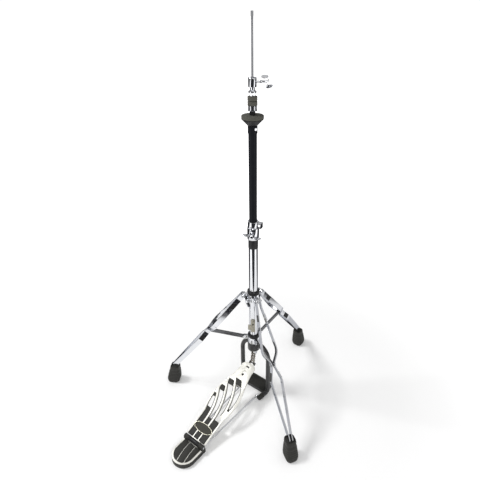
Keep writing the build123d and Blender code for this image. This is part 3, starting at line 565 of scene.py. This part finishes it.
def rubber_foot(name, azimuth):
    """One foot, drawn along x and then turned to its leg. Shares run from 0 at the floor to 1 on top."""
    low, high = [Vector(corner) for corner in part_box("leg_foot_" + name)]
    height = high.z - low.z
    sole_at, crown_at = 0.290, 0.2805
    belly = (0.0455, 0.0395)
    sole_share, crown = 0.86, (0.0305, 0.0305)
    levels, belly_share = 30, 0.21
    work = bmesh.new()
    bmesh.ops.create_cube(work, size=1.0)
    upright = [edge for edge in work.edges if abs(edge.verts[0].co.z - edge.verts[1].co.z) > 0.5]
    bmesh.ops.bevel(work, geom=upright, offset=0.3, segments=6, profile=0.5, affect="EDGES", material=-1)
    for step in range(1, levels):
        bmesh.ops.bisect_plane(work, geom=list(work.verts) + list(work.edges) + list(work.faces),
                               plane_co=(0, 0, step / levels - 0.5), plane_no=(0, 0, 1))
    for vert in work.verts:
        share = vert.co.z + 0.5
        band = round(share * levels)
        if share < belly_share:
            swell = sole_share + (1 - sole_share) * sin(share / belly_share * pi / 2)
            length, width = belly[0] * swell, belly[1] * swell
        else:
            up = ((share - belly_share) / (1 - belly_share)) ** foot_taper
            length, width = (belly[i] + (crown[i] - belly[i]) * up for i in (0, 1))
        grooved = band % groove_every == 0 and groove_span[0] < share < groove_span[1]
        groove = groove_depth if grooved else 0.0
        waist = pinch_depth * max(0.0, 1 - abs(share - pinch_at) / pinch_reach)
        middle = sole_at + (crown_at - sole_at) * share
        vert.co = Vector((middle + vert.co.x * (length - 2 * (groove + waist)),
                          vert.co.y * (width - 2 * (groove + waist)), low.z + share * height))
    top = [face for face in work.faces
           if face.normal.z > 0.9 and face.calc_center_median().z > high.z - 0.001]
    bmesh.ops.inset_region(work, faces=top, thickness=foot_rim, depth=0.0)
    bmesh.ops.translate(work, verts=list({vert for face in top for vert in face.verts}),
                        vec=(0, 0, -foot_sunk))
    bmesh.ops.rotate(work, verts=work.verts, cent=(0, 0, 0),
                     matrix=Matrix.Rotation(radians(azimuth), 3, "Z"))
    piece = new_piece("rubber_foot_" + name, work, "rubber", "leg_" + name, ["leg_foot_" + name])
    rounding = piece.modifiers.new("rounding", "BEVEL")
    rounding.width = 0.0006
    rounding.segments = 2
    rounding.limit_method = "ANGLE"
    rounding.angle_limit = radians(34)


for name, azimuth in tripod.items():
    rubber_foot(name, azimuth)
print("feet", len(tripod))

# %% [markdown]
# ## Badge
# The oval plate on the footboard is dark enamel in a thin raised rim, with nothing written on it. The rim is
# a circle swept round an oval, so it stands proud of the plate.

# %% Badge rim
low, high = [Vector(corner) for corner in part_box("badge_plate")]
badge_half = ((high.x - low.x) / 2, (high.y - low.y) / 2 / cos(radians(board_slope)))
badge_along, badge_level, rim_r, rim_squash = 0.045, 0.0039, 0.0011, 0.8
ring_sides, ring_wide = 10, rim_r * 20      # the rim is drawn round a 1 m circle, then fitted to the oval
work = bmesh.new()
ring = [work.verts.new((1.0 + ring_wide * cos(a), 0.0, sin(a)))
        for a in (2 * pi * i / ring_sides for i in range(ring_sides))]
ring_edges = [work.edges.new((a, b)) for a, b in zip(ring, ring[1:] + ring[:1])]
bmesh.ops.spin(work, geom=ring + ring_edges, cent=(0, 0, 0), axis=(0, 0, 1), angle=2 * pi, steps=72,
               use_merge=True)
bmesh.ops.remove_doubles(work, verts=work.verts, dist=1e-6)
for vert in work.verts:
    around_r = hypot(vert.co.x, vert.co.y)
    inward = (around_r - 1.0) / ring_wide * rim_r
    unit = Vector((vert.co.x, vert.co.y, 0)) / around_r
    vert.co = Vector((unit.x * (badge_half[0] - rim_r + inward),
                      badge_along + unit.y * (badge_half[1] - rim_r + inward),
                      badge_level + vert.co.z * rim_r * rim_squash))
bmesh.ops.transform(work, matrix=board_place, verts=work.verts)
new_piece("badge_rim", work, "badge_rim", "pedal")
print("badge", badge_half)

# %% [markdown]
# ## Wing screws
# A wing screw is turned, then its two wings are stamped or cast on. The turned part is a spun profile laid
# along X. Each wing starts as a flat grid, is rounded at its tip, curled, and given its thickness last, so
# its two faces stay parallel as they are in sheet metal.


# %% Wing screw helpers
def joined(works):
    whole = bmesh.new()
    for part in works:
        spare = bpy.data.meshes.new("spare")
        part.to_mesh(spare)
        part.free()
        whole.from_mesh(spare)
        bpy.data.meshes.remove(spare)
    return whole


def moved(work, matrix):
    bmesh.ops.transform(work, matrix=matrix, verts=work.verts)
    return work


def wing_blade(length, width, thickness, curl):
    """A wing that grows from its root along +X, its width along Y, curling towards +Z."""
    work = bmesh.new()
    bmesh.ops.create_grid(work, x_segments=12, y_segments=8, size=0.5)
    for vert in work.verts:
        along = vert.co.x + 0.5
        tip = max(0.0, along - 0.5) / 0.5
        spread = (0.62 + 0.38 * sin(min(along * 2, 1.0) * pi / 2)) * max(0.12, 1 - tip ** 2) ** 0.5
        vert.co = Vector((along * length, vert.co.y * width * spread, curl * along ** 2 * length))
    bmesh.ops.solidify(work, geom=work.faces, thickness=thickness)
    bmesh.ops.recalc_face_normals(work, faces=work.faces)
    return work


along_x = Matrix.Rotation(radians(90), 4, "Y")


def wing_screw(name, node, body, azimuth, height, turned, wings, softness=0.0005):
    """The turned part's profile is (radius, distance out); each wing is a blade and its place."""
    parts = [moved(spun(turned, 40), along_x)] + [moved(blade, place) for blade, place in wings]
    work = joined(parts)
    bmesh.ops.transform(work, verts=work.verts, matrix=Matrix.Translation((0, 0, height))
                        @ Matrix.Rotation(radians(azimuth), 4, "Z"))
    piece = new_piece(name, work, "chrome", body, [node])
    rounding = piece.modifiers.new("rounding", "BEVEL")
    rounding.width = softness
    rounding.segments = 2
    rounding.limit_method = "ANGLE"
    rounding.angle_limit = radians(40)
    return piece


def paired_wings(root, out, length, width, thickness, curl, roll):
    """Two like wings on opposite sides of the screw, root metres from its axis."""
    pair = []
    for side in (0, 180):
        place = (Matrix.Rotation(radians(roll + side), 4, "X") @ Matrix.Translation((out, 0, root))
                 @ Matrix.Rotation(radians(-90), 4, "Y") @ Matrix.Rotation(radians(90), 4, "X"))
        pair.append((wing_blade(length, width, thickness, curl), place))
    return pair


# %% Clamp and collar wing bolts
def bolt_profile(thread, tip, shoulder, hub, end):
    return [(0.0, tip), (thread, tip), (thread, shoulder), (hub * 0.92, shoulder), (hub, shoulder + 0.001),
            (hub, end - 0.0025), (hub * 0.8, end - 0.0006), (hub * 0.45, end), (0.0, end)]


height_bolt = joints["height_bolt_turn"]["pos_m"]
wing_screw("height_wing_bolt_turned", "height_wing_bolt", "height_bolt", -60.0, height_bolt[2],
           bolt_profile(0.003, 0.0148, 0.0263, 0.006, 0.036),
           paired_wings(0.0042, 0.031, 0.0235, 0.0125, 0.0030, 0.10, 78.0))
collar_bolt = joints["collar_bolt_turn"]["pos_m"]
wing_screw("collar_wing_bolt_turned", "collar_wing_bolt", "collar_bolt", -90.0, collar_bolt[2],
           bolt_profile(0.003, 0.0140, 0.0273, 0.0055, 0.037),
           paired_wings(0.0040, 0.032, 0.0155, 0.0115, 0.0030, 0.12, 25.0))
print("wing bolts at", round(height_bolt[2], 4), round(collar_bolt[2], 4))

# %% [markdown]
# ## Clutch wing screw
# The clutch screw is a longer stamping: its upper wing folds back over the shank and its lower wing runs out
# past the end, so a finger always finds one of them. Each is a blade of its own with a short web to the hub.

# %% Clutch wing screw
clutch_screw = joints["clutch_screw_turn"]["pos_m"]
hub_end = 0.0385
tilt_out = Matrix.Rotation(radians(38), 4, "X")
turn_back = Matrix.Rotation(radians(180), 4, "Z")
upper_wing = (wing_blade(0.0175, 0.0110, 0.0018, 0.04),
              Matrix.Translation((hub_end, 0, 0.0118)) @ tilt_out @ turn_back)
upper_web = (wing_blade(0.0125, 0.0066, 0.0018, 0.10),
             Matrix.Translation((hub_end - 0.0012, 0, 0.0005)) @ Matrix.Rotation(radians(-90), 4, "Y"))
lower_web = (wing_blade(0.0125, 0.0066, 0.0018, 0.12),
             Matrix.Translation((hub_end - 0.0012, 0, 0.0)) @ Matrix.Rotation(radians(90), 4, "Y"))
lower_wing = (wing_blade(0.0165, 0.0105, 0.0020, 0.26),
              Matrix.Translation((hub_end - 0.0060, 0, -0.0112)) @ tilt_out)
wing_screw("clutch_wing_screw_turned", "clutch_wing_screw", "clutch_screw", 38.0, clutch_screw[2],
           [(0.0, 0.0034), (0.0025, 0.0034), (0.0025, 0.0175), (0.0036, 0.0180), (0.0042, 0.0205),
            (0.0036, 0.0235), (0.0030, 0.0245), (0.0030, 0.0370), (0.0038, 0.0378), (0.0038, hub_end),
            (0.0, hub_end)],
           [upper_wing, upper_web, lower_web, lower_wing])
print("clutch screw at", round(clutch_screw[2], 4))

# %% [markdown]
# ## Felts
# Felt is cut from sheet, so a washer's faces are flat and its rim is soft and a little uneven. The profile is
# spun, and a smooth noise then moves each point along its normal by a fraction of a millimetre.


# %% Felt washers
rim_dip, face_dip = 0.0002, 0.0003          # the rim is a little hollow, and so is the top
felt_grain, felt_shrink = 420, 0.6          # how fine the unevenness is, and how far it leans inward
bore_guard = 0.001                          # points this near the bore stay put, so it stays round


def felt_washer(bore, radius, foot, height, rough=0.00028, seed=0.0):
    """A felt disc with a soft rim, its surface moved by up to about rough."""
    edge = min(height * 0.24, 0.0022)
    flat, top = radius - edge, foot + height
    eighths = (pi / 8, pi / 4, 3 * pi / 8)
    profile = [(bore, foot), (flat, foot)]
    profile += [(flat + edge * sin(a), foot + edge - edge * cos(a)) for a in eighths]
    profile += [(radius, foot + edge), (radius - rim_dip, foot + height / 2), (radius, top - edge)]
    profile += [(flat + edge * cos(a), top - edge + edge * sin(a)) for a in eighths]
    profile += [(flat, top), ((radius + bore) / 2, top - face_dip), (bore, top)]
    work = spun(profile, 96)
    bmesh.ops.recalc_face_normals(work, faces=work.faces)
    work.normal_update()
    for vert in work.verts:
        wander = smooth_noise.noise(vert.co * felt_grain + Vector((seed, seed, 0)))
        if hypot(vert.co.x, vert.co.y) > bore + bore_guard:
            vert.co += vert.normal * (rough * (wander - felt_shrink))
    return work


low, high = [Vector(corner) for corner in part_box("clutch_felts")]
each = (high.z - low.z) / 2
felt_bore, felt_r, felt_gap = 0.0062, 0.0125, 0.0003
felts = joined([felt_washer(felt_bore, felt_r, low.z, each - felt_gap),
                felt_washer(felt_bore, felt_r, low.z + each, each, seed=4.0)])
new_piece("clutch_felt_pair", felts, "felt", "clutch", ["clutch_felts"], 60.0)
low, high = [Vector(corner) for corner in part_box("seat_felt")]
seat_top = felt_washer(0.0058, high.x, low.z, high.z - low.z, rough=0.00035, seed=9.0)
new_piece("seat_felt_disc", seat_top, "felt", "seat", ["seat_felt"], 60.0)
print("felts", round(each, 4), round(high.z - low.z, 4))

# %% [markdown]
# ## Knurled lock nut
# The nut under the clutch felts is gripped by hand, so its rim is knurled. Every other face round a plain
# many-sided disc is inset and pushed in, which cuts straight knurls without drawing one.

# %% Lock nut
low, high = [Vector(corner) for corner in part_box("clutch_lock_nut")]
nut_height, knurls = high.z - low.z, 30
knurl_gap, knurl_depth = 0.00015, 0.0007
cap_steps = ((0.0012, 0.0), (0.0034, -0.0006))      # a flat rim, then a shallow dish
work = bmesh.new()
bmesh.ops.create_cone(work, cap_ends=True, segments=2 * knurls, radius1=high.x, radius2=high.x,
                      depth=nut_height)
moved(work, Matrix.Translation((0, 0, low.z + nut_height / 2)))
rim = sorted((face for face in work.faces if abs(face.normal.z) < 0.1),
             key=lambda face: round(Vector((1, 0)).angle_signed(face.normal.xy), 5))
bmesh.ops.inset_individual(work, faces=rim[::2], thickness=knurl_gap, depth=-knurl_depth)
caps = [face for face in work.faces if abs(face.normal.z) > 0.9]
for thickness, depth in cap_steps:
    bmesh.ops.inset_individual(work, faces=caps, thickness=thickness, depth=depth)
new_piece("clutch_lock_nut_knurled", work, "chrome", "clutch_nut", ["clutch_lock_nut"], 20.0)
print("knurls", knurls)

# %% [markdown]
# ## Chain
# Each link is a pair of waisted plates joined by riveted pins with a roller between. A plate starts as a disc
# whose two halves are drawn apart by one pitch, then its waist is pinched and it is given its thickness.

# %% Chain
pitch, links = 0.009525, 5
plate_r, plate_thick, plate_waist, inner_half = 0.0043, 0.0013, 0.30, 0.0040
chain_pin_r, pin_end_r, pin_chamfer = 0.0017, 0.0013, 0.0005
roller_r, roller_gap, outer_gap = 0.0028, 0.0002, 0.0001
toe_pin = Vector((0, -0.008, 0.122))
clevis_pin = Vector(joints["chain_swing"]["pos_m"])
hang = toe_pin - clevis_pin
lean = (Matrix.Translation(clevis_pin)
        @ Vector((0, 0, -1)).rotation_difference(hang).to_matrix().to_4x4())


def link_plate(inner, top):
    work = bmesh.new()
    bmesh.ops.create_circle(work, cap_ends=True, segments=32, radius=plate_r)
    for vert in work.verts:
        vert.co.y += pitch / 2 if vert.co.y > 0 else -pitch / 2
    sides = [edge for edge in work.edges if abs(edge.verts[0].co.y - edge.verts[1].co.y) > pitch * 0.8]
    bmesh.ops.subdivide_edges(work, edges=sides, cuts=7)
    for vert in work.verts:
        if abs(vert.co.y) < pitch / 2:
            vert.co.x *= 1 - plate_waist * cos(vert.co.y / pitch * pi) ** 2
    bmesh.ops.solidify(work, geom=work.faces, thickness=plate_thick)
    bmesh.ops.recalc_face_normals(work, faces=work.faces)
    low_z = min(vert.co.z for vert in work.verts)
    moved(work, Matrix.Translation((0, 0, -low_z)))
    moved(work, Matrix.Translation((inner, 0, top - pitch / 2)) @ Matrix.Rotation(radians(90), 4, "Z")
          @ Matrix.Rotation(radians(90), 4, "X"))
    return work


pieces = []
for link in range(links):
    inner = inner_half if link % 2 else inner_half + plate_thick + outer_gap
    for start in (inner, -inner - plate_thick):
        pieces.append(link_plate(start, -link * pitch))
chain_half = inner_half + 2 * plate_thick + 0.0003
for joint in range(1, links):
    pin = spun([(0.0, -chain_half), (pin_end_r, -chain_half), (chain_pin_r, -chain_half + pin_chamfer),
                (chain_pin_r, -inner_half), (roller_r, -inner_half + roller_gap),
                (roller_r, inner_half - roller_gap), (chain_pin_r, inner_half),
                (chain_pin_r, chain_half - pin_chamfer), (pin_end_r, chain_half), (0.0, chain_half)], 20)
    pieces.append(moved(pin, Matrix.Translation((0, 0, -joint * pitch)) @ along_x))
work = moved(joined(pieces), lean)
new_piece("chain_linked", work, "chain", "chain", ["chain"])
print("chain pieces", len(pieces))

# %% [markdown]
# ## Return spring
# The coil sits under a cap on the pull rod and is pressed together when the pedal goes down. A small circle is
# spun round the axis while it climbs, which draws the coil.

# %% Return spring
low, high = [Vector(corner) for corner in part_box("return_spring")]
wire_r, coil_turns, turn_steps = 0.001, 11, 28
coil_r = high.x - wire_r
climb = high.z - low.z - 2 * wire_r
work = bmesh.new()
bmesh.ops.create_circle(work, segments=10, radius=wire_r)
moved(work, Matrix.Translation((coil_r, 0, low.z + wire_r)) @ Matrix.Rotation(radians(90), 4, "X"))
steps = coil_turns * turn_steps
bmesh.ops.spin(work, geom=list(work.verts) + list(work.edges), cent=(0, 0, 0), axis=(0, 0, 1),
               dvec=(0, 0, climb / steps), angle=2 * pi * coil_turns, steps=steps, use_duplicate=False)
bmesh.ops.holes_fill(work, edges=[edge for edge in work.edges if edge.is_boundary], sides=0)
spring = new_piece("return_spring_coil", work, "steel", "base", ["return_spring"], 50.0)
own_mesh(spring)
print("spring", round(coil_r, 4), round(climb, 4))

# %% [markdown]
# ## Rivet heads
# The leg pins are riveted over, which leaves a shallow dome on each washer. One dome profile is spun and set
# on both ends of each pin.

# %% Rivet heads
dome = [(0.0, 0.0), (0.0040, 0.0), (0.0038, 0.0009), (0.0030, 0.0017), (0.0016, 0.0022), (0.0, 0.0024)]
pivot = Vector(joints["leg_fold_right"]["pos_m"])
pivot_r = hypot(pivot.x, pivot.y)
washer_face = 0.0107                 # from the leg's middle plane to the outer face of its washer
domes = []
for azimuth in tripod.values():
    for side in (1, -1):
        place = (Matrix.Rotation(radians(azimuth), 4, "Z")
                 @ Matrix.Translation((pivot_r, side * washer_face, pivot.z))
                 @ Matrix.Rotation(radians(-90 * side), 4, "X"))
        domes.append(moved(spun(dome, 24), place))
new_piece("leg_rivet_heads", joined(domes), "chrome", "collar")
print("rivet heads", 2 * len(tripod))
